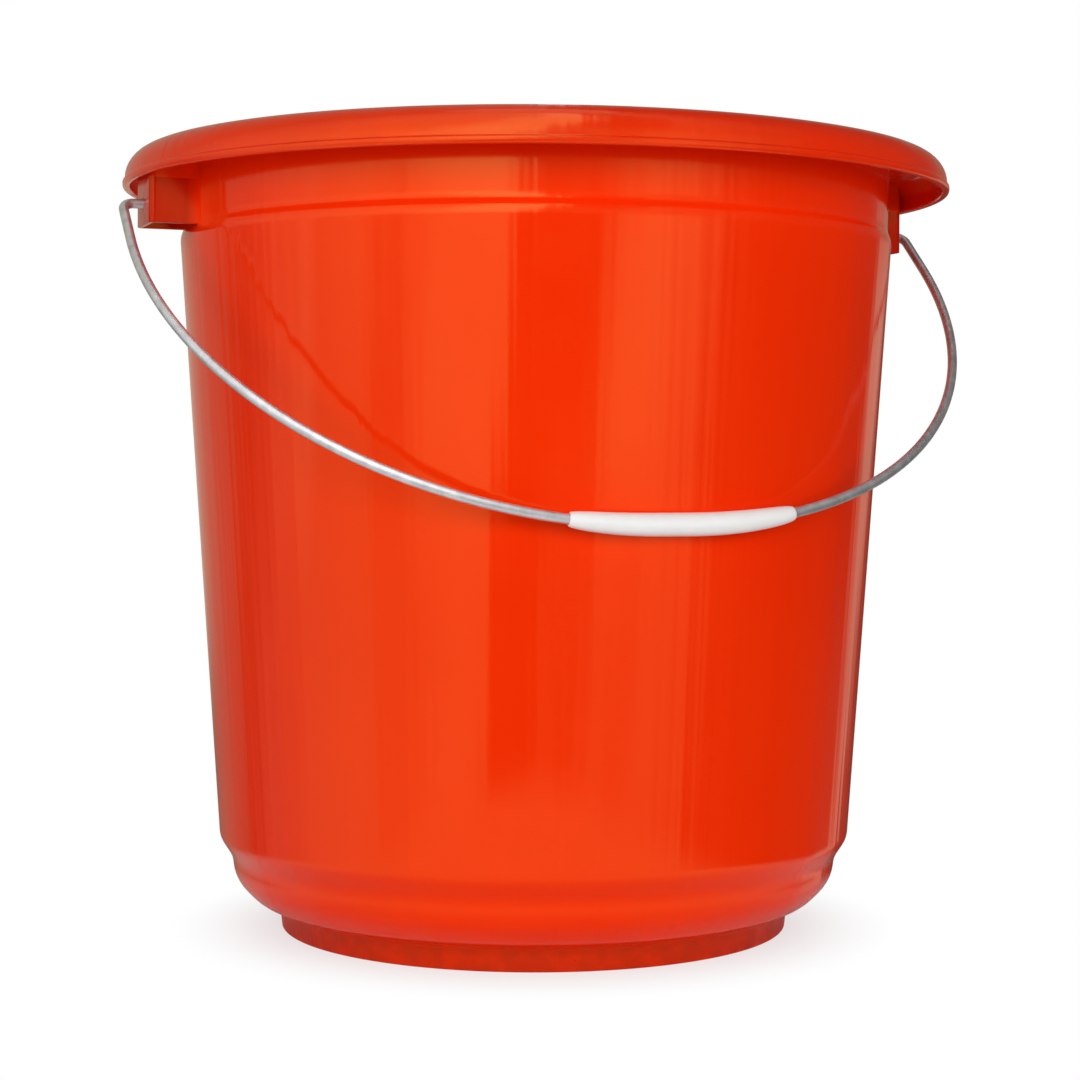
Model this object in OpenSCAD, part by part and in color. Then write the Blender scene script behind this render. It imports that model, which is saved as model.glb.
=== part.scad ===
// Household bucket, about 13 litres: one moulded plastic shell with a rolled rim,
// a wire bail hooked into two hollow ears under the rim, and a grip sleeve on the wire.
// Millimetres. The bucket stands on z = 0 with its axis on Z. The ears lie on X, and
// the bail hangs down in front, towards -Y, with its grip resting near the wall.

/* [Bucket] */
// Height from the foot to the top of the rim
bucket_h = 288; // [282:1:300]
// Outer radius of the foot ring where it stands
foot_r = 94.9; // [86:0.1:96]
// Height of the foot ring
foot_h = 9.5; // [8:0.5:13]
// Radius of the rounded shoulder above the foot ring
shoulder_r = 18; // [15:0.5:18]
// Outer radius of the wall at its lower edge
wall_low_r = 118.2; // [116:0.1:119]
// Outer radius of the wall just below the neck
wall_top_r = 133.9; // [133:0.1:134.5]
// Outer radius of the neck between the wall and the rim
neck_r = 131.5; // [130.5:0.1:132]
// Thickness of the moulded wall
wall_t = 2; // [1.8:0.1:2.2]

/* [Rim] */
// Outer radius of the bead along the lower edge of the rim
rim_r = 155; // [154.5:0.1:155.3]
// Height of the rim from the bead to the top
rim_h = 13.8; // [13.2:0.1:15]
// Radius of the rounded outer edge of the rim
rim_round = 10.2; // [9.5:0.1:10.5]
// Radius of the bead's own section
bead_r = 1.3; // [1.2:0.05:1.5]

/* [Ears] */
// Width of an ear along the rim
ear_w = 25; // [23:0.5:30]
// Distance of an ear's outer face from the bucket's axis
ear_face = 150; // [149:0.5:151]
// How far an ear hangs below the rim's bead
ear_drop = 16.2; // [15:0.1:18]
// Thickness of an ear's plates
ear_t = 2; // [1.8:0.1:2.4]
// Diameter of the hole that the wire turns in
hole_d = 4; // [3.8:0.1:4.4]

/* [Bail] */
// Diameter of the wire
wire_d = 3.5; // [3:0.1:3.6]
// Half the bail's width, from the bucket's axis to the middle of a leg
bail_half = 157.4; // [157.2:0.1:160]
// Radius of the two wide bends between the legs and the grip
bail_bend = 151.4; // [146:0.1:156]
// Distance from the ear holes to the middle of the bail
bail_reach = 172.4; // [170:0.1:180]
// Length of the hooked wire end behind an ear's outer plate
hook_l = 8; // [6:0.5:8.5]

/* [Grip] */
// Length of the grip along the wire
grip_l = 82; // [60:1:110]
// Diameter of the grip at its middle
grip_d = 7.9; // [7:0.1:9]
// How far along the wire the grip sits from the middle
grip_shift = 5.5; // [-10:0.5:10]
// Gap left between the hanging grip and the wall
rest_gap = 0.4; // [0.3:0.1:2]

/* [Hidden] */
$fn = 96;

// Foot, shoulder and wall
floor_t = 2.2;
foot_t = 2.3;
foot_draft = 1.1;
step_in = 4.8;
step_h = 5.5;
shoulder_z = foot_h + shoulder_r;
shoulder_c = wall_low_r - step_in - shoulder_r;
step_z = shoulder_z + 1;
wall_low_z = step_z + step_h;
edge = 0.7;

// Rim: the centre of its rounded edge, its bead and its sheet
bead_out = 0.8;
bead_z = bucket_h - rim_h;
round_r = rim_r - bead_out - rim_round;
round_z = bucket_h - rim_round;
rim_t = 2.2;
mouth_round = 3;

// Ears and their holes
ledge_z = bead_z - ear_drop;
ear_root = neck_r - wall_t / 2 - 0.2;
ear_corner = 2;
pocket_corner = 0.6;
hole_up = 7.6;
hole_z = ledge_z + hole_up;

// Bail: a straight middle, two wide bends and straight legs, then a bend into each ear
// and a hook behind its outer plate
straight_half = bail_half - bail_bend;
leg_l = bail_reach - bail_bend;
bend_r = 4;
hook_bend_r = 3.2;
pin_play = 2.4;
pin_in = ear_face - ear_t - pin_play;

// The angle below level at which the grip comes to rest against the wall
wall_slope = (wall_top_r - wall_low_r) / (ledge_z - wall_low_z);
wall_tilt = atan(wall_slope);
wall_at_hole = wall_low_r + wall_slope * (hole_z - wall_low_z);
grip_stand = (grip_d / 2 + rest_gap) / cos(wall_tilt);
bail_rest = acos((wall_at_hole + grip_stand) * cos(wall_tilt) / bail_reach) + wall_tilt;

// Grip: a barrel that narrows to a rounded nose at each end
nose_r = wire_d / 2 + 0.5;
barrel_power = 2.4;
grip_rings = 32;
grip_sides = 32;

// Section of the solid that the bucket's outside bounds, up to the neck
module outside_2d() {
    polygon([
        [0, 0], [foot_r, 0], [foot_r + foot_draft, foot_h + 0.3],
        [shoulder_c, foot_h + 0.3], [shoulder_c, shoulder_z], [0, shoulder_z]
    ]);
    translate([0, foot_h]) square([shoulder_c, shoulder_r]);
    translate([shoulder_c, shoulder_z]) circle(r = shoulder_r);
    polygon([
        [0, shoulder_z], [shoulder_c + shoulder_r, shoulder_z],
        [shoulder_c + shoulder_r, step_z], [wall_low_r - edge / 2, wall_low_z - edge],
        [wall_low_r, wall_low_z], [wall_top_r, ledge_z - edge],
        [wall_top_r - edge, ledge_z], [neck_r + edge, ledge_z + edge / 2],
        [neck_r, ledge_z + 2 * edge], [neck_r, bucket_h], [0, bucket_h]
    ]);
}

// Section of the space inside the bucket
module inside_2d() {
    inner = shoulder_r - floor_t;
    translate([0, shoulder_z - inner]) square([shoulder_c, inner]);
    translate([shoulder_c, shoulder_z]) circle(r = inner);
    polygon([
        [0, shoulder_z], [shoulder_c + inner, shoulder_z],
        [shoulder_c + inner, step_z + 0.8], [wall_low_r - wall_t, wall_low_z + 0.8],
        [wall_top_r - wall_t, ledge_z - 3],
        [neck_r - wall_t, ledge_z + 1], [neck_r - wall_t, bucket_h + 1], [0, bucket_h + 1]
    ]);
    // the mouth is rounded over into the top of the rim
    difference() {
        translate([neck_r - wall_t - 1, bucket_h - mouth_round])
            square([mouth_round + 1, mouth_round + 1]);
        translate([neck_r - wall_t + mouth_round, bucket_h - mouth_round])
            circle(r = mouth_round);
    }
}

// Section of the hollow below the floor, inside the foot ring
module recess_2d() {
    polygon([
        [0, -1], [foot_r - foot_t, -1], [foot_r - foot_t + foot_draft, foot_h], [0, foot_h]
    ]);
}

// Section that a rounded rim edge of the given inset fills, from radius inner out
module rim_fill_2d(inner, inset, bottom) {
    translate([inner, bottom])
        square([round_r - inner, bucket_h - inset - bottom]);
    translate([round_r, round_z])
        intersection() {
            circle(r = rim_round - inset);
            square(rim_round);
        }
    translate([round_r, bottom])
        square([rim_round - inset, round_z - bottom]);
}

// Section of the rim: a flange with a rounded edge, a skirt and a bead
module rim_2d() {
    difference() {
        rim_fill_2d(neck_r - wall_t / 2, 0, bead_z + bead_r);
        rim_fill_2d(neck_r, rim_t, bead_z - 5);
    }
    translate([rim_r - bead_r, bead_z + bead_r]) circle(r = bead_r);
}

module shell_2d() {
    difference() {
        union() {
            outside_2d();
            rim_2d();
        }
        inside_2d();
        recess_2d();
    }
}

// Plan of an ear: straight sides, two rounded outer corners
module ear_plan_2d(width, face, corner) {
    translate([ear_root - 2, -width / 2])
        square([face - corner - ear_root + 2, width]);
    translate([face - corner - 1, corner - width / 2])
        square([corner + 1, width - 2 * corner]);
    for (side = [-1, 1])
        translate([face - corner, side * (width / 2 - corner)]) circle(r = corner);
}

// A block on +X under the rim, bounded above by the rim's own curve
module ear_block(root, width, face, corner, inset, bottom) {
    intersection() {
        translate([0, 0, bottom]) linear_extrude(bucket_h - bottom)
            ear_plan_2d(width, face, corner);
        translate([0, width, 0]) rotate([90, 0, 0]) linear_extrude(2 * width)
            rim_fill_2d(root, inset, bottom);
    }
}

// One hollow ear, open below, that hangs from the flange in front of the neck
module ear() {
    difference() {
        ear_block(ear_root, ear_w, ear_face, ear_corner, rim_t / 4, ledge_z);
        ear_block(
            ear_root - 2, ear_w - 2 * ear_t, ear_face - ear_t, pocket_corner,
            rim_t, ledge_z - 1
        );
    }
}

module bucket_shell() {
    color("#e8380f")
    difference() {
        union() {
            rotate_extrude() shell_2d();
            ear();
            mirror([1, 0, 0]) ear();
        }
        for (side = [0, 1])
            mirror([side, 0, 0])
                translate([ear_face - ear_t - 1, 0, hole_z]) rotate([0, 90, 0])
                    cylinder(d = hole_d, h = ear_t + 2);
    }
}

// Stretch of bent wire: an arc of the given centre-line radius
module wire_arc(radius, turn) {
    rotate_extrude(angle = turn) translate([radius, 0]) circle(d = wire_d, $fn = 48);
}

module wire_rod(length) {
    cylinder(d = wire_d, h = length, $fn = 48);
}

// The straight middle and the two wide bends, drawn flat
module wire_arch() {
    translate([-straight_half, -bail_reach, 0]) rotate([0, 90, 0]) wire_rod(2 * straight_half);
    translate([straight_half, -leg_l, 0]) rotate([0, 0, -90]) wire_arc(bail_bend, 90);
    translate([-straight_half, -leg_l, 0]) rotate([0, 0, 180]) wire_arc(bail_bend, 90);
}

// From the end of a wide bend, through an ear, to the tip of the hook
module bail_end() {
    translate([bail_half, -bend_r, 0]) rotate([90, 0, 0]) wire_rod(leg_l - bend_r);
    translate([bail_half - bend_r, -bend_r, 0]) wire_arc(bend_r, 90);
    translate([pin_in, 0, 0]) rotate([0, 90, 0]) wire_rod(bail_half - bend_r - pin_in);
    translate([pin_in, -hook_bend_r, 0]) rotate([0, 0, 90]) wire_arc(hook_bend_r, 90);
    translate([pin_in - hook_bend_r, -hook_bend_r, 0])
        rotate([90, 0, 0]) wire_rod(hook_l - hook_bend_r);
}

// Puts a bail drawn flat, with its arc towards -Y, where it hangs
module as_hung() {
    translate([0, 0, hole_z]) rotate([bail_rest, 0, 0]) children();
}

module bail_wire() {
    color("#b9bcc0")
    as_hung() {
        wire_arch();
        bail_end();
        mirror([1, 0, 0]) bail_end();
    }
}

// Radius of the grip at t, from -1 at one end to 1 at the other
function grip_r_at(t) =
    nose_r + (grip_d / 2 - nose_r) * sqrt(max(0, 1 - pow(abs(t), barrel_power)));

// Point at the given radius and spin around the wire, s along it from its middle
function around_wire(s, radius, spin) =
    let (
        turn = max(0, abs(s) - straight_half) / bail_bend * 180 / PI,
        out = bail_bend + radius * cos(spin),
        x = min(abs(s), straight_half) + out * sin(turn)
    )
    [sign(s) * x, -leg_l - out * cos(turn), radius * sin(spin)];

// Ring i of the grip, closer to its neighbours near the two noses
function grip_point(i, side) =
    let (t = -cos(180 * i / grip_rings))
    around_wire(grip_shift + grip_l / 2 * t, grip_r_at(t), 360 * side / grip_sides);

module grip_body() {
    points = [
        for (i = [0 : grip_rings]) for (side = [0 : grip_sides - 1]) grip_point(i, side)
    ];
    walls = [
        for (i = [0 : grip_rings - 1]) for (side = [0 : grip_sides - 1])
            let (
                next = (side + 1) % grip_sides,
                a = i * grip_sides + side,
                b = i * grip_sides + next,
                c = (i + 1) * grip_sides + next,
                d = (i + 1) * grip_sides + side
            )
            each [[a, b, c], [a, c, d]]
    ];
    first = [for (side = [grip_sides - 1 : -1 : 0]) side];
    last = [for (side = [0 : grip_sides - 1]) grip_rings * grip_sides + side];
    polyhedron(points, concat(walls, [first, last]));
}

module grip_sleeve() {
    color("#f2f2ee")
    as_hung()
        difference() {
            grip_body();
            wire_arch();
        }
}

bucket_shell();
bail_wire();
grip_sleeve();
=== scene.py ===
"""Looks of the bucket: fine meshes, finishes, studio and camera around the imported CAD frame."""

import math

import bmesh
import bpy
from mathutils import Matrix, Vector


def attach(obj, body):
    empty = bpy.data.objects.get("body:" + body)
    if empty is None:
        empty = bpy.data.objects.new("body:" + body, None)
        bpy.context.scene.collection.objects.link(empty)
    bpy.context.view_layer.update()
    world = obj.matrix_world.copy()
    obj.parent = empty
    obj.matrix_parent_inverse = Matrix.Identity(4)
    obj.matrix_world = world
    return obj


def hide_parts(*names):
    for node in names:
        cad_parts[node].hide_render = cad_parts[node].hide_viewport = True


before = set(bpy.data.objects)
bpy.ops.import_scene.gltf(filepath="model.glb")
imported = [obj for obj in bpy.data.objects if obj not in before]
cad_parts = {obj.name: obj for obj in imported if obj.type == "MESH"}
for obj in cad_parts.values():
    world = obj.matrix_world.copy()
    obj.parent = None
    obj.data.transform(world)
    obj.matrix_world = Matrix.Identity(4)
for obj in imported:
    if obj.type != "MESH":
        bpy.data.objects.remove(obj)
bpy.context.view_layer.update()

MM = 0.001

# Camera
# Fitted to the photograph, which is 1080 pixels wide and high.
PHOTO_PX = 1080
FOCAL_PX = 2356.6                # focal length in pixels of the photograph
AXIS_PX = (571.9, 466.1)         # pixel that the lens's axis goes through, from the top left
TURN_DEG = 20.9                  # how far the camera stands to the left of the bucket's front
CAM_BACK = 0.8968                # from the bucket's axis, along the view
CAM_RIGHT = 0.01376              # across the view
CAM_UP = 0.1725
ROLL = -0.0047                   # radians, below zero turns the picture clockwise

turn = math.radians(TURN_DEG)
view_dir = Vector((math.sin(turn), math.cos(turn), 0))
view_right = Vector((math.cos(turn), -math.sin(turn), 0))


def studio_point(right, back, up):
    """A point given across the view, towards the camera and up, all from the bucket's foot."""
    return view_right * right - view_dir * back + Vector((0, 0, up))


def around(angle_deg, distance, up):
    """A point at a level angle from the camera's direction, positive to the right."""
    a = math.radians(angle_deg)
    return studio_point(distance * math.sin(a), distance * math.cos(a), up)


def link(name, data):
    """A new object in the scene."""
    thing = bpy.data.objects.new(name, data)
    bpy.context.scene.collection.objects.link(thing)
    return thing


camera_data = bpy.data.cameras.new("camera")
camera = link("camera", camera_data)
camera_data.sensor_width = 36
camera_data.lens = FOCAL_PX / PHOTO_PX * camera_data.sensor_width
camera_data.shift_x = 0.5 - AXIS_PX[0] / PHOTO_PX
camera_data.shift_y = AXIS_PX[1] / PHOTO_PX - 0.5
camera_data.clip_start = 0.05
camera.location = studio_point(CAM_RIGHT, CAM_BACK, CAM_UP)
camera.rotation_euler = (math.pi / 2, ROLL, -turn)
bpy.context.scene.camera = camera


# Materials
def linear(*srgb):
    """A colour written in 0-255 steps, as the shader's linear values."""
    steps = [c / 255 for c in srgb]
    return tuple(s / 12.92 if s < 0.04045 else ((s + 0.055) / 1.055) ** 2.4 for s in steps) + (1,)


class Nodes:
    """A short way to write a node tree."""

    def __init__(self, tree):
        self.tree = tree
        tree.nodes.clear()

    def add(self, kind, inputs=None, **settings):
        node = self.tree.nodes.new("ShaderNode" + kind)
        for name, value in settings.items():
            setattr(node, name, value)
        for key, value in (inputs or {}).items():
            socket = node.inputs[key]
            if isinstance(value, bpy.types.NodeSocket):
                self.tree.links.new(value, socket)
            else:
                socket.default_value = value
        return node

    def math(self, operation, first, second=0.0):
        return self.add("Math", {0: first, 1: second}, operation=operation).outputs[0]

    def length(self, vector):
        return self.add("VectorMath", {0: vector}, operation="LENGTH").outputs["Value"]

    def noise(self, place, scale, detail=2.0):
        return self.add("TexNoise", {"Vector": place, "Scale": scale, "Detail": detail}).outputs[0]

    def ramp(self, factor, *stops):
        """A colour ramp from (position, colour) pairs."""
        node = self.add("ValToRGB", {0: factor})
        points = node.color_ramp.elements
        while len(points) < len(stops):
            points.new(0.5)
        for point, (position, colour) in zip(points, stops):
            point.position, point.color = position, colour
        return node.outputs["Color"]

    def spread(self, factor, low, high, start=0.0, end=1.0):
        """Maps start..end to low..high."""
        return self.add("MapRange", {0: factor, 1: start, 2: end, 3: low, 4: high}).outputs[0]

    def bump(self, height, distance, under=None):
        inputs = {"Height": height, "Distance": distance, "Strength": 1.0}
        if under is not None:
            inputs["Normal"] = under
        return self.add("Bump", inputs).outputs[0]

    def surface(self, shader):
        self.add("OutputMaterial", {"Surface": shader})


def new_material(name):
    material = bpy.data.materials.new(name)
    material.use_nodes = True
    return material, Nodes(material.node_tree)


PLASTIC_IOR = 1.49
FOOT_Z = (0.0072, 0.0098)          # heights between which the painted shade on the foot ring fades out
RIM_Z = (0.2738, 0.2752)           # heights between which the rim's painted shade, and its duller gloss, set in
RIM_R = (0.137, 0.142)             # distances from the axis between which it sets in
EARS_X = (0.1325, 0.137)           # distances sideways between which the ears' painted shade sets in
EARS_Z = (0.256, 0.2575)           # heights between which it sets in
EARS_END = (0.2738, 0.2742)        # heights between which it fades out below the rim


def toned(n, colour, rough, where, patches, tone, duller):
    """The colour and roughness with another tone where the factor is 1, a little patchy."""
    where = n.math("MULTIPLY", where, patches)
    mixed = n.add("MixRGB", {"Fac": where, "Color1": colour, "Color2": linear(*tone)})
    return mixed.outputs[0], n.math("ADD", rough, n.math("MULTIPLY", where, duller))


def red_plastic():
    """Glossy moulded plastic, with the faint upright lines that the mould leaves when it opens."""
    material, n = new_material("red_plastic")
    place = n.add("TexCoord").outputs["Object"]
    x, y, z = n.add("SeparateXYZ", {0: place}).outputs
    angle = n.math("ARCTAN2", y, x)
    around_up = n.add("CombineXYZ", {0: angle, 1: n.math("MULTIPLY", z, 0.12)}).outputs[0]

    tone = n.noise(place, 11.0, 3.0)
    colour = n.ramp(tone, (0.3, linear(248, 44, 1)), (0.7, linear(252, 49, 2)))
    handled = n.noise(place, 75.0, 6.0)
    rough = n.spread(handled, 0.08, 0.15, 0.3, 0.8)

    # painted shade: the foot ring, in the shade under the shoulder, is painted darker in patches, and
    # is also made duller
    foot = n.spread(z, 1.0, 0.0, *FOOT_Z)
    patches = n.spread(n.noise(place, 140.0, 6.0), 0.72, 1.0, 0.35, 0.6)
    colour, rough = toned(n, colour, rough, foot, patches, (192, 34, 8), 0.25)

    # painted shade: the rim is painted deeper in colour, in patches, standing in for weaker light on
    # its upward faces, and is also made duller
    flat = n.add("CombineXYZ", {0: x, 1: y}).outputs[0]
    rim = n.math("MULTIPLY", n.spread(z, 0.0, 1.0, *RIM_Z), n.spread(n.length(flat), 0.0, 1.0, *RIM_R))
    patches = n.spread(n.noise(place, 34.0, 4.0), 0.7, 1.0, 0.35, 0.65)
    colour, rough = toned(n, colour, rough, rim, patches, (233, 42, 4), 0.06)

    # painted shade: the ears are painted deeper in colour than the wall, as in the photo, standing in
    # for the shade under the flange, and are also made duller
    level = n.math("MULTIPLY", n.spread(z, 0.0, 1.0, *EARS_Z), n.spread(z, 1.0, 0.0, *EARS_END))
    ears = n.math("MULTIPLY", n.spread(n.math("ABSOLUTE", x), 0.0, 1.0, *EARS_X), level)
    patches = n.spread(n.noise(place, 120.0, 5.0), 0.86, 1.0, 0.35, 0.65)
    colour, rough = toned(n, colour, rough, ears, patches, (196, 15, 1), 0.08)

    # slow waves in the wall, upright lines in some places, and the finest unevenness of the gloss
    waves = n.bump(n.noise(place, 19.0, 1.0), 0.0002)
    places = n.spread(n.noise(around_up, 5.0, 1.0), 0.15, 1.0, 0.42, 0.62)
    drawn = n.math("MULTIPLY", n.noise(around_up, 27.0, 1.5), places)
    lines = n.bump(drawn, 0.0004, waves)
    peel = n.bump(n.noise(place, 900.0, 2.0), 0.0000015, lines)
    n.surface(n.add("BsdfPrincipled", {
        "Base Color": colour, "Roughness": rough, "IOR": PLASTIC_IOR,
        "Specular Tint": (1.0, 0.85, 0.22, 1.0), "Normal": peel}).outputs[0])
    return material


def zinc_wire():
    """Drawn wire with a dull zinc coat: fine lines run along it."""
    material, n = new_material("zinc_wire")
    place = n.add("TexCoord").outputs["Object"]
    along = n.add("UVMap", uv_map="along").outputs[0]
    drawn = n.noise(n.add("VectorMath", {0: along, 1: (40.0, 24.0, 1.0)},
                          operation="MULTIPLY").outputs[0], 1.0, 4.0)
    cloud = n.noise(place, 260.0, 4.0)
    colour = n.ramp(cloud, (0.3, linear(188, 189, 191)), (0.7, linear(214, 215, 217)))
    n.surface(n.add("BsdfPrincipled", {
        "Base Color": colour, "Roughness": n.spread(cloud, 0.34, 0.48), "Metallic": 0.78,
        "Normal": n.bump(drawn, 0.00004)}).outputs[0])
    return material


def white_plastic():
    """Smooth moulded plastic, with a slightly uneven gloss."""
    material, n = new_material("white_plastic")
    place = n.add("TexCoord").outputs["Object"]
    cloud = n.noise(place, 160.0, 5.0)
    colour = n.ramp(cloud, (0.3, linear(243, 243, 241)), (0.7, linear(247, 247, 245)))
    n.surface(n.add("BsdfPrincipled", {
        "Base Color": colour, "Roughness": n.spread(cloud, 0.28, 0.42), "IOR": PLASTIC_IOR,
        "Normal": n.bump(n.noise(place, 500.0, 3.0), 0.00001)}).outputs[0])
    return material


# Mesh helpers
def finish_mesh(piece, smooth_deg=35):
    """Smooth shading, apart from edges sharper than smooth_deg."""
    mesh = piece.data
    bm = bmesh.new()
    bm.from_mesh(mesh)
    bmesh.ops.recalc_face_normals(bm, faces=bm.faces)
    bm.to_mesh(mesh)
    bm.free()
    mesh.shade_smooth()
    mesh.set_sharp_from_angle(angle=math.radians(smooth_deg))
    return piece


def mesh_piece(name, points, faces):
    """A mesh object from points in millimetres."""
    mesh = bpy.data.meshes.new(name)
    mesh.from_pydata([Vector(p) * MM for p in points], [], faces)
    return finish_mesh(link(name, mesh))


def rounded(corners, step_deg=9, support=0.5):
    """A fine line through (r, z, fillet) corners. Each corner is rounded by its own fillet
    radius, and a point set close before and after it keeps the shading of the straight
    stretches even."""
    line = []
    for i, (r, z, fillet) in enumerate(corners):
        here = Vector((r, z))
        if not fillet:
            line.append(here)
            continue
        before = (Vector(corners[i - 1][:2]) - here).normalized()
        after = (Vector(corners[i + 1][:2]) - here).normalized()
        bend = math.pi - before.angle(after)
        reach = fillet * math.tan(bend / 2)
        middle = here + (before + after).normalized() * (fillet / math.cos(bend / 2))
        first = here + before * reach
        arm = first - middle
        sense = 1 if arm.y * before.x > arm.x * before.y else -1
        steps = max(2, math.ceil(math.degrees(bend) / step_deg))
        if line and (line[-1] - first).length > 4 * support:
            line.append(first + before * support)
        for k in range(steps + 1):
            a = sense * bend * k / steps
            line.append(middle + Vector((arm.x * math.cos(a) - arm.y * math.sin(a),
                                         arm.x * math.sin(a) + arm.y * math.cos(a))))
        if (Vector(corners[i + 1][:2]) - line[-1]).length > 4 * support:
            line.append(line[-1] + after * support)
    return line


def circle(radius, sides):
    """Points evenly round a circle."""
    return [(radius * math.cos(2 * math.pi * k / sides), radius * math.sin(2 * math.pi * k / sides))
            for k in range(sides)]


def bands(rings, sides):
    """Four-sided faces between rings of points. Each pair in rings is joined."""
    return [[i * sides + k, i * sides + (k + 1) % sides, j * sides + (k + 1) % sides, j * sides + k]
            for i, j in rings for k in range(sides)]


def lathe(name, line, sides):
    """A closed body of revolution about Z. The line starts and ends on the axis."""
    points = [(0, 0, line[0].y), (0, 0, line[-1].y)]
    for r, z in line[1:-1]:
        points += [(x, y, z) for x, y in circle(r, sides)]
    rings = len(line) - 2
    faces = []
    for k in range(sides):
        n = (k + 1) % sides
        faces.append([0, 2 + n, 2 + k])
        for i in range(rings - 1):
            low, high = 2 + i * sides, 2 + (i + 1) * sides
            faces.append([low + k, low + n, high + n, high + k])
        top = 2 + (rings - 1) * sides
        faces.append([top + k, top + n, 1])
    return mesh_piece(name, points, faces)


def combine(piece, tool, operation):
    """Adds the tool to the piece or cuts it out, and removes the tool."""
    cut = piece.modifiers.new(operation, "BOOLEAN")
    cut.operation, cut.solver, cut.object = operation, "EXACT", tool
    bpy.context.view_layer.update()
    result = bpy.data.meshes.new_from_object(
        piece.evaluated_get(bpy.context.evaluated_depsgraph_get()))
    piece.modifiers.clear()
    piece.data = result
    bpy.data.objects.remove(tool)


# Bucket shell
# (radius, height, fillet) from the middle of the floor's underside, out round the foot, up
# the wall, over the rim and down inside to the middle of the floor.
SHELL_CORNERS = [
    (0, 8.4, 0), (2.4, 8.4, 0.5), (2.9, 9.5, 0.4),                   # stub of the moulding gate
    (93.7, 9.5, 1.2), (92.75, 0, 0.5), (94.9, 0, 0.6),               # recess and foot ring
    (95.95, 9.5, 0.8), (102.9, 9.5, 13.5), (112.6, 19.2, 14),        # shoulder
    (113.5, 27.4, 10), (118.2, 34.6, 8),                             # step
    (133.8, 256.4, 8), (132.3, 260.2, 7), (133.1, 285.8, 2),         # ledge and neck
    (152, 285.8, 8), (152.2, 274.2, 1.15), (155, 274.2, 1.3),        # under the rim, its bead
    (155, 276.5, 0.5), (154.2, 277, 0.4), (154.2, 288, 10.2),
    (129.5, 288, 3), (129.5, 259, 1.5), (131.9, 255, 1.5),           # mouth
    (116.2, 34.8, 2), (111.2, 29.3, 1.5), (111.2, 11.7, 15.8), (0, 11.7, 0),
]
SHELL_SIDES = 288
RIM_ARC = (144, 277.8, 9.65)       # centre radius, height and radius of the arc in the flange

# Ears: hollow boxes, open below, that hang from the flange
EAR_W, EAR_T = 25, 2               # width across, and the plates' thickness
EAR_ROOT, EAR_FACE = 130.2, 150    # distances from the axis at which an ear starts and ends
EAR_BOTTOM = 258
EAR_CORNER, POCKET_CORNER = 2.2, 0.6
CORNER_STEPS = 6
# The plates' lower edge: shares of the way through a plate, and heights above the ear's bottom
LOWER_EDGE = [(0, 0.4), (0.06, 0.12), (0.2, 0), (0.8, 0), (0.94, 0.12), (1, 0.4)]
HOLE_Z, HOLE_R, HOLE_SIDES = 265.6, 2, 40
WORN_R, WORN_DEEP = 2.25, 0.3      # where the wire rubs the hole wider at the plate's faces
TOOL_R = 2.9                       # of the cutting tool, 1 mm past the faces


def ear_top(x, y):
    """Height at which an ear's plate ends, hidden in the thickness of the flange."""
    middle, height, radius = RIM_ARC
    out = max(0, math.hypot(x, y) - middle)
    return height + math.sqrt(radius ** 2 - out ** 2)


def ear(side):
    """One ear with its hole. It is drawn at +X, and turned half round for -X."""
    half = EAR_W / 2
    stations = [((EAR_ROOT, -half), (EAR_ROOT + 0.2, EAR_T - half))]
    for k in range(CORNER_STEPS + 1):
        a = math.radians(90 * k / CORNER_STEPS - 90)
        stations.append((
            (EAR_FACE - EAR_CORNER + EAR_CORNER * math.cos(a),
             EAR_CORNER - half + EAR_CORNER * math.sin(a)),
            (EAR_FACE - EAR_T - POCKET_CORNER + POCKET_CORNER * math.cos(a),
             EAR_T + POCKET_CORNER - half + POCKET_CORNER * math.sin(a))))
    stations += [tuple((x, -y) for x, y in pair) for pair in reversed(stations)]
    points = []
    for outer, inner in stations:
        points.append((*outer, ear_top(*outer)))
        for share, up in LOWER_EDGE:
            points.append((outer[0] + (inner[0] - outer[0]) * share,
                           outer[1] + (inner[1] - outer[1]) * share, EAR_BOTTOM + up))
        points.append((*inner, ear_top(*inner)))
    ring = len(LOWER_EDGE) + 2
    last = (len(stations) - 1) * ring
    faces = [list(range(ring)), list(range(last + ring - 1, last - 1, -1))]
    for s in range(len(stations) - 1):
        for k in range(ring):
            n = (k + 1) % ring
            faces.append([s * ring + k, (s + 1) * ring + k, (s + 1) * ring + n, s * ring + n])
    plates = mesh_piece("ear", points, faces)

    # the hole, slightly flared where the wire rubs
    back = EAR_FACE - EAR_T
    flare = [(back - 1, TOOL_R), (back, WORN_R), (back + WORN_DEEP, HOLE_R),
             (EAR_FACE - WORN_DEEP, HOLE_R), (EAR_FACE, WORN_R), (EAR_FACE + 1, TOOL_R)]
    sides = HOLE_SIDES
    points = [(x, y, HOLE_Z + z) for x, r in flare for y, z in circle(r, sides)]
    faces = [list(range(sides)), list(range(len(points) - 1, len(points) - sides - 1, -1))]
    faces += bands([(i, i + 1) for i in range(len(flare) - 1)], sides)
    combine(plates, mesh_piece("hole", points, faces), "DIFFERENCE")
    if side < 0:
        plates.data.transform(((-1, 0, 0, 0), (0, -1, 0, 0), (0, 0, 1, 0), (0, 0, 0, 1)))
    return plates


def bucket_shell():
    """The moulded shell: a turned body with the two ears joined to it."""
    shell = lathe("moulded_shell", rounded(SHELL_CORNERS), SHELL_SIDES)
    for side in (1, -1):
        combine(shell, ear(side), "UNION")
    finish_mesh(shell)
    shell.data.materials.clear()
    shell.data.materials.append(red_plastic())
    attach(shell, "bucket")
    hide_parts("bucket_shell")


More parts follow.
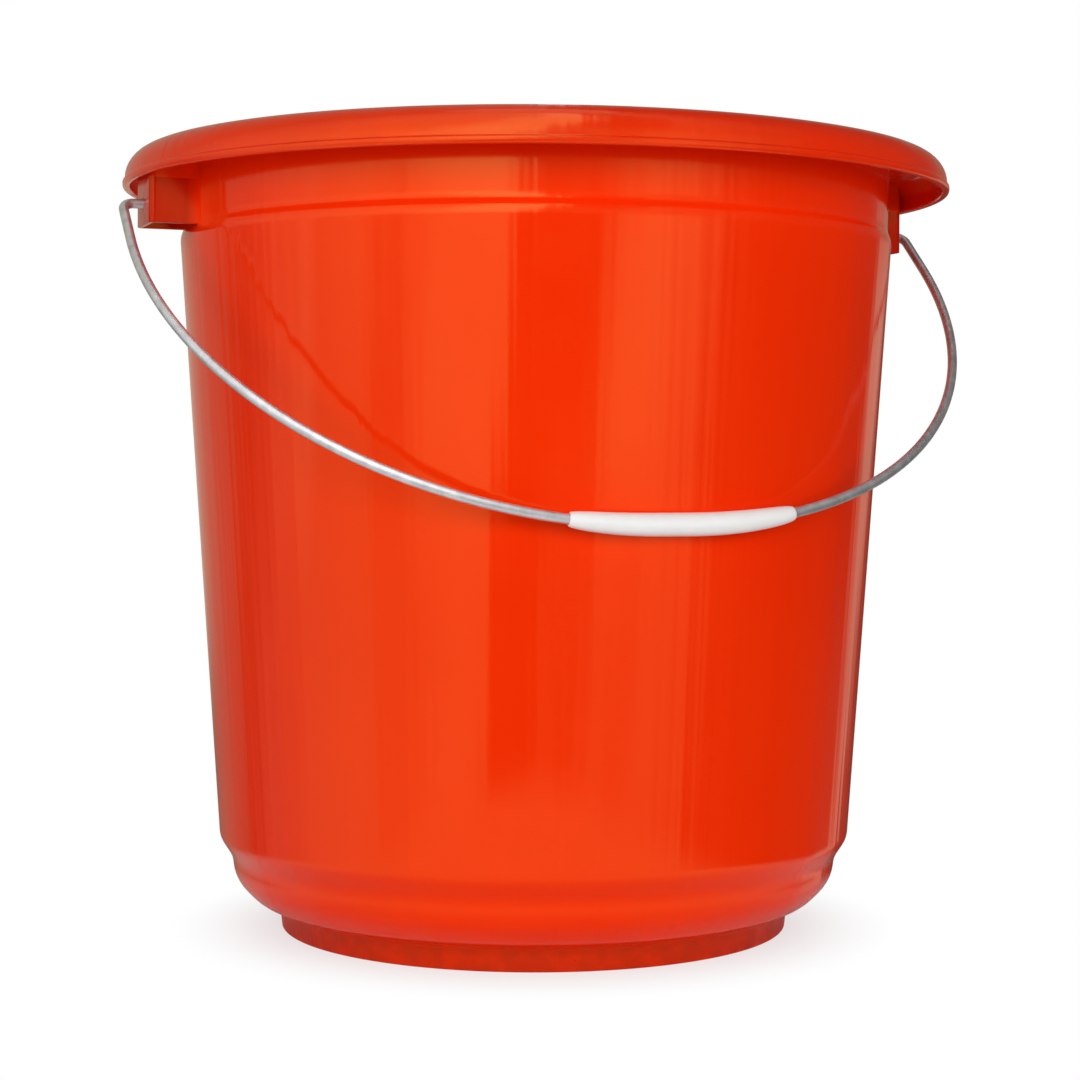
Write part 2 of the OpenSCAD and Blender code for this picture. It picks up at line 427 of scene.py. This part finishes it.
# Bail
WIRE_R, WIRE_SIDES = 1.75, 28
REST = math.radians(40.5825)       # below level, where the grip meets the wall
HALF, REACH = 157.4, 172.4         # half the width, and from the ears out to the middle
BEND = 151.4                       # radius of the two wide bends
STRAIGHT, LEG = HALF - BEND, REACH - BEND
EYE_R, PIN_IN = 4, 145.6           # tight bend into an ear, and where the wire inside it ends
HOOK_R, HOOK_L = 3.2, 8            # bend and length of the hook behind the ear's plate
CUT_END = ((0.0, 0.55), (0.08, 0.8), (0.25, 0.95), (0.5, 1.0))   # distance in, share of the radius


def hang(across, out, proud=0.0):
    """A point of the bail, drawn flat as (across, out from the ears, proud), where it hangs."""
    return (across, -out * math.cos(REST) - proud * math.sin(REST),
            HOLE_Z - out * math.sin(REST) + proud * math.cos(REST))


def arc(middle, radius, start, end, steps):
    """Points (across, out, direction) along an arc, whose angles are in degrees."""
    sense = 1 if end > start else -1
    made = []
    for k in range(steps + 1):
        a = math.radians(start + (end - start) * k / steps)
        made.append((middle[0] + radius * math.cos(a), middle[1] + radius * math.sin(a),
                     a + sense * math.pi / 2))
    return made


def bail_line():
    """The wire's middle line, from one hook's tip to the other's, with its direction."""
    half = [(0, REACH, 0.0)]
    half += arc((STRAIGHT, LEG), BEND, 90, 0, steps=96)
    half += arc((HALF - EYE_R, EYE_R), EYE_R, 0, -90, steps=12)
    half += arc((PIN_IN, HOOK_R), HOOK_R, -90, -180, steps=10)
    half.append((PIN_IN - HOOK_R, HOOK_L, math.pi / 2 - 2 * math.pi))
    mirrored = [(-u, v, -a) for u, v, a in reversed(half[1:])]
    return mirrored + half


def moved_along(point, distance):
    """An (across, out, direction) point, moved on in its direction."""
    across, out, direction = point
    return (across + distance * math.cos(direction), out + distance * math.sin(direction), direction)


def tube(name, line, radius, sides):
    """A round wire along (across, out, direction) points, with its cut ends slightly rounded."""
    stations = [(moved_along(line[0], d), share) for d, share in CUT_END]
    stations += [(p, 1.0) for p in line[1:-1]]
    stations += [(moved_along(line[-1], -d), share) for d, share in reversed(CUT_END)]
    points, lengths, run = [], [], 0.0
    for i, ((u, v, a), share) in enumerate(stations):
        if i:
            (pu, pv, _), _ = stations[i - 1]
            run += math.hypot(u - pu, v - pv)
        lengths.append(run)
        for k in range(sides):
            s = 2 * math.pi * k / sides
            side_way, proud = radius * share * math.cos(s), radius * share * math.sin(s)
            points.append(hang(u - math.sin(a) * side_way, v + math.cos(a) * side_way, proud))
    faces = [list(range(sides - 1, -1, -1)), list(range(len(points) - sides, len(points)))]
    faces += bands([(i, i + 1) for i in range(len(stations) - 1)], sides)
    piece = mesh_piece(name, points, faces)
    uv = piece.data.uv_layers.new(name="along")
    for loop in piece.data.loops:
        ring, spoke = divmod(loop.vertex_index, sides)
        uv.data[loop.index].uv = (lengths[ring] * MM, abs(2 * spoke / sides - 1))
    return piece


GRIP_L, GRIP_R = 82, 3.95
GRIP_SHIFT = 5.5                   # along the wire, off its middle
NOSE_R, BORE_R = 2.25, 1.78        # outer radius at the grip's ends, and its bore
BARREL_POWER = 2.4                 # above 2 the grip is fuller than an ellipse
GRIP_RINGS, GRIP_SIDES = 72, 48


def on_arch(s, radius, spin):
    """A point around the wire, at s along it from its middle."""
    a = max(0, abs(s) - STRAIGHT) / BEND
    out = BEND + radius * math.cos(spin)
    across = min(abs(s), STRAIGHT) + out * math.sin(a)
    return hang(math.copysign(across, s), LEG + out * math.cos(a), radius * math.sin(spin))


def grip_sleeve():
    """The grip: a barrel with a bore, bent along the middle of the wire."""
    sides = GRIP_SIDES
    profile = []
    for i in range(GRIP_RINGS + 1):
        t = -math.cos(math.pi * i / GRIP_RINGS)
        radius = NOSE_R + (GRIP_R - NOSE_R) * math.sqrt(max(0, 1 - abs(t) ** BARREL_POWER))
        profile.append((GRIP_SHIFT + GRIP_L / 2 * t, radius))
    bore = [(s, BORE_R) for s, _ in reversed(profile)]
    loop = profile + bore
    points = [on_arch(s, radius, 2 * math.pi * k / sides) for s, radius in loop for k in range(sides)]
    faces = bands([(i, (i + 1) % len(loop)) for i in range(len(loop))], sides)
    piece = mesh_piece("hand_grip", points, faces)
    piece.data.materials.append(white_plastic())
    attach(piece, "bail")
    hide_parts("grip_sleeve")


def bail_wire():
    piece = tube("wire_bail", bail_line(), WIRE_R, WIRE_SIDES)
    piece.data.materials.append(zinc_wire())
    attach(piece, "bail")
    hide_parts("bail_wire")


bucket_shell()
bail_wire()
grip_sleeve()


# Studio
def seen_as_background(n):
    """1 for the rays that should see plain white: camera, glossy and transmission rays."""
    path = n.add("LightPath").outputs
    some = n.math("MAXIMUM", path["Is Camera Ray"], path["Is Glossy Ray"])
    return n.math("MAXIMUM", some, path["Is Transmission Ray"])


def smooth(n, factor, start, end, low=0.0, high=1.0):
    """Goes from low to high, without a corner at either end."""
    return n.add("MapRange", {0: factor, 1: start, 2: end, 3: low, 4: high},
                 interpolation_type="SMOOTHSTEP").outputs[0]


WHITE = (1, 1, 1, 1)
FROM_ABOVE, FROM_BELOW = 0.16, 0.43   # brightness of the fill light from above and from below
FILL_FADE = 0.2                    # height of a direction at which the one has become the other
world = bpy.data.worlds.new("studio")
bpy.context.scene.world = world
world.use_nodes = True
n = Nodes(world.node_tree)
height = n.add("SeparateXYZ", {0: n.add("TexCoord").outputs["Generated"]}).outputs[2]
fill = n.spread(height, FROM_BELOW, FROM_ABOVE, -FILL_FADE, FILL_FADE)
n.add("OutputWorld", {"Surface": n.add("Background", {
    "Color": WHITE, "Strength": n.math("MAXIMUM", seen_as_background(n), fill)}).outputs[0]})

# The table is a disc, mostly in front of the bucket. For the camera it keeps the shadow near the
# bucket and is plain white further out. Gloss mirrors it too, and there it ends softly.
TABLE_R = 0.30
TABLE_FORWARD = 0.12               # how far its middle stands before the bucket
SHADOW = (0.085, 0.14)             # distances from the bucket between which the shadow fades
NEAR_WHITE = 0.65                  # how white the table is already at the bucket
MIRRORED = (0.11, 0.2)             # distances between which gloss sees the table turn white
LIGHTING = (0.12, 0.28)            # and between which diffuse rays do
MIRROR_NARROW = 1.4                # how much sooner the table ends at its sides for gloss
MIRROR_END = (0.62, 0.98)          # shares of its radius between which it fades out for gloss
TABLE_COLOUR = 0.92
TABLE_SIDES = 96

floor_mesh = bpy.data.meshes.new("floor")
floor_mesh.from_pydata([around(360 * i / TABLE_SIDES, TABLE_R, 0) for i in range(TABLE_SIDES)], [],
                       [list(range(TABLE_SIDES))[::-1]])
floor = link("floor", floor_mesh)
floor.location = around(0, TABLE_FORWARD, 0)
floor_material, n = new_material("floor")
place = n.add("TexCoord").outputs["Object"]
narrow = n.add("VectorRotate", {0: place, "Angle": turn}, rotation_type="Z_AXIS").outputs[0]
narrow = n.add("VectorMath", {0: narrow, 1: (MIRROR_NARROW, 1, 1)}, operation="MULTIPLY").outputs[0]
from_middle = n.length(narrow)
from_bucket = n.add("VectorMath", {0: place, 1: floor.location}, operation="ADD").outputs[0]
reach = n.length(from_bucket)
path = n.add("LightPath").outputs
glossy = path["Is Glossy Ray"]
seen = smooth(n, reach, *SHADOW, NEAR_WHITE)
mirrored = smooth(n, reach, *MIRRORED)
lighting = smooth(n, reach, *LIGHTING)
white = n.add("Mix", {"Factor": glossy, "A": lighting, "B": mirrored}).outputs[0]
white = n.add("Mix", {"Factor": path["Is Camera Ray"], "A": white, "B": seen}).outputs[0]
matt = n.add("BsdfDiffuse", {"Color": (TABLE_COLOUR,) * 3 + (1,)}).outputs[0]
glow = n.add("Emission", {"Color": WHITE,
                          "Strength": n.spread(seen_as_background(n), FROM_BELOW, 1.0)}).outputs[0]
top = n.add("MixShader", {0: white, 1: matt, 2: glow}).outputs[0]
ending = smooth(n, from_middle, *(TABLE_R * share for share in MIRROR_END))
ending = n.math("MULTIPLY", ending, glossy)
n.surface(n.add("MixShader", {0: ending, 1: top, 2: n.add("BsdfTransparent").outputs[0]}).outputs[0])
floor_mesh.materials.append(floor_material)

MIDDLE = Vector((0, 0, 0.16))      # where the lamps point, and the tent's middle
LAMP_W, LAMP_H, LAMP_AWAY = 1.1, 0.8, 1.6
# Name, level angle from the camera's direction, height, and brightness of the face, where 1 is white
LAMPS = [("left", -45, 0.46, 2.5), ("front", 0, 0.66, 3.15), ("right", 45, 0.46, 2.8),
         ("back", 180, 0.66, 2.6)]


def softbox(name, place, radiance):
    """A soft rectangular lamp. Gloss mirrors the tent in its place."""
    data = bpy.data.lights.new(name, "AREA")
    data.shape = "RECTANGLE"
    data.size, data.size_y = LAMP_W, LAMP_H
    data.energy = radiance * math.pi * LAMP_W * LAMP_H
    lamp = link(name, data)
    lamp.location = place
    lamp.rotation_euler = (MIDDLE - place).to_track_quat("-Z", "Y").to_euler()
    lamp.visible_camera = False
    lamp.visible_glossy = False


for name, angle, up, radiance in LAMPS:
    softbox("lamp_" + name, around(angle, LAMP_AWAY, up), radiance)

# The light tent is what the gloss mirrors: bright cloths, with dark gaps between them. The
# pairs are the level angle from the camera's direction, positive to the right, and the
# brightness there, at level, below it and above it.
LEVEL_CLOTHS = [(-160, 0.55), (-145, 0.45), (-120, 0.33), (-112, 0.27), (-105, 0.08), (-98, 0.22),
                (-90, 0.35), (-85, 0.7), (-79, 0.65), (-75, 1.2), (-70, 0.7), (-55, 0.9),
                (-50, 0.7), (-47, 0.35), (-42, 0.55), (-37, 0.85), (-33, 0.9), (-29, 1.4),
                (-9.5, 1.45), (-7.5, 0.02), (15, 0.02), (21, 0.3), (26, 1.3), (32, 1.45),
                (42, 1.2), (50, 0.6), (58, 0.15), (66, 0.02), (130, 0.04), (136, 0.5),
                (146, 0.55), (151, 0.06)]
LOW_CLOTHS = [(-150, 0.2), (-135, 0.3), (-118, 0.28), (-108, 0.1), (-100, 0.2), (-93, 0.4), (-80, 0.52),
              (-70, 0.8), (-52, 0.97), (-45, 0.75), (-40, 0.68), (-27, 0.84), (-19, 1.12),
              (-9.5, 1.0), (-7.5, 0.02), (5, 0.03), (10, 0.4), (20, 0.22), (28, 0.75),
              (34, 0.5), (40, 0.85), (50, 0.75), (58, 0.4), (66, 0.08), (80, 0.02),
              (100, 0.02), (112, 0.08), (134, 0.1), (139, 0.6), (147, 0.6), (152, 0.06)]
HIGH_CLOTHS = [(-168, 0.4), (-115, 0.4), (-80, 1.1), (-43, 1.6), (-30, 3.2), (-14, 3.2), (-7, 0.6),
               (0, 0.1), (13, 0.3), (22, 0.8), (34, 0.5), (50, 0.3), (70, 0.1), (120, 0.1), (168, 0.4)]
TENT_R, TENT_END = 1.5, 179        # radius, and the angle at which its sides meet behind
TENT_LOW, TENT_HIGH = -50, 78      # angles up from level
BRIGHTEST = 3.5                    # what a ramp's full white stands for
CREAM, CREAM_FROM = (1, 0.9, 0.7), 106   # the cloths' colour at the sides and behind, and where
LEAN = 0.5                         # how far the cloths lean sideways as they go up
LEAN_LEVEL = -2.3                  # angle up at which they don't lean
LOW_TO_LEVEL = (-12, -4)           # angles up between which one row of cloths turns into the next
LEVEL_TO_HIGH = (3, 12)
TENT_ACROSS, TENT_UP = 84, 24      # numbers of faces


def cloths(n, angle, pairs):
    """The brightness at a level angle, as a ramp."""
    share = n.spread(angle, 0.0, 1.0, -math.pi, math.pi)
    stops = []
    for a, v in pairs:
        tint = CREAM if abs(a) > CREAM_FROM else (1, 1, 1)
        stops.append(((a + 180) / 360, tuple(v / BRIGHTEST * c for c in tint) + (1,)))
    return n.ramp(share, *stops)


def light_tent():
    """Most of a ball round the bucket, which only the gloss sees."""
    points = []
    for j in range(TENT_UP + 1):
        rise = math.radians(TENT_LOW + (TENT_HIGH - TENT_LOW) * j / TENT_UP)
        for i in range(TENT_ACROSS + 1):
            a = math.radians(TENT_END * (2 * i / TENT_ACROSS - 1))
            points.append((TENT_R * math.sin(a) * math.cos(rise),
                           -TENT_R * math.cos(a) * math.cos(rise), TENT_R * math.sin(rise)))
    row = TENT_ACROSS + 1
    faces = [[j * row + i, j * row + i + 1, (j + 1) * row + i + 1, (j + 1) * row + i]
             for j in range(TENT_UP) for i in range(TENT_ACROSS)]
    mesh = bpy.data.meshes.new("light_tent")
    mesh.from_pydata(points, [], faces)
    tent = link("light_tent", mesh)
    tent.location = MIDDLE
    tent.rotation_euler = (0, 0, -turn)
    tent.visible_camera = tent.visible_diffuse = tent.visible_shadow = False
    tent.visible_transmission = False

    material, n = new_material("light_tent")
    place = n.add("TexCoord").outputs["Object"]
    x, y, z = n.add("SeparateXYZ", {0: place}).outputs
    angle = n.math("ARCTAN2", x, n.math("MULTIPLY", y, -1.0))
    rise = n.math("ARCSINE", n.math("DIVIDE", z, TENT_R))
    lean = n.math("MULTIPLY", n.math("SUBTRACT", rise, math.radians(LEAN_LEVEL)), LEAN)
    angle = n.math("SUBTRACT", angle, lean)
    up_to_level = smooth(n, rise, *(math.radians(up) for up in LOW_TO_LEVEL))
    up_to_high = smooth(n, rise, *(math.radians(up) for up in LEVEL_TO_HIGH))
    low = n.add("MixRGB", {"Fac": up_to_level, "Color1": cloths(n, angle, LOW_CLOTHS),
                           "Color2": cloths(n, angle, LEVEL_CLOTHS)}).outputs[0]
    cloth = n.add("MixRGB", {"Fac": up_to_high, "Color1": low,
                             "Color2": cloths(n, angle, HIGH_CLOTHS)}).outputs[0]
    n.surface(n.add("Emission", {"Color": cloth, "Strength": BRIGHTEST}).outputs[0])
    mesh.materials.append(material)


light_tent()

bpy.context.scene.view_settings.view_transform = "Standard"
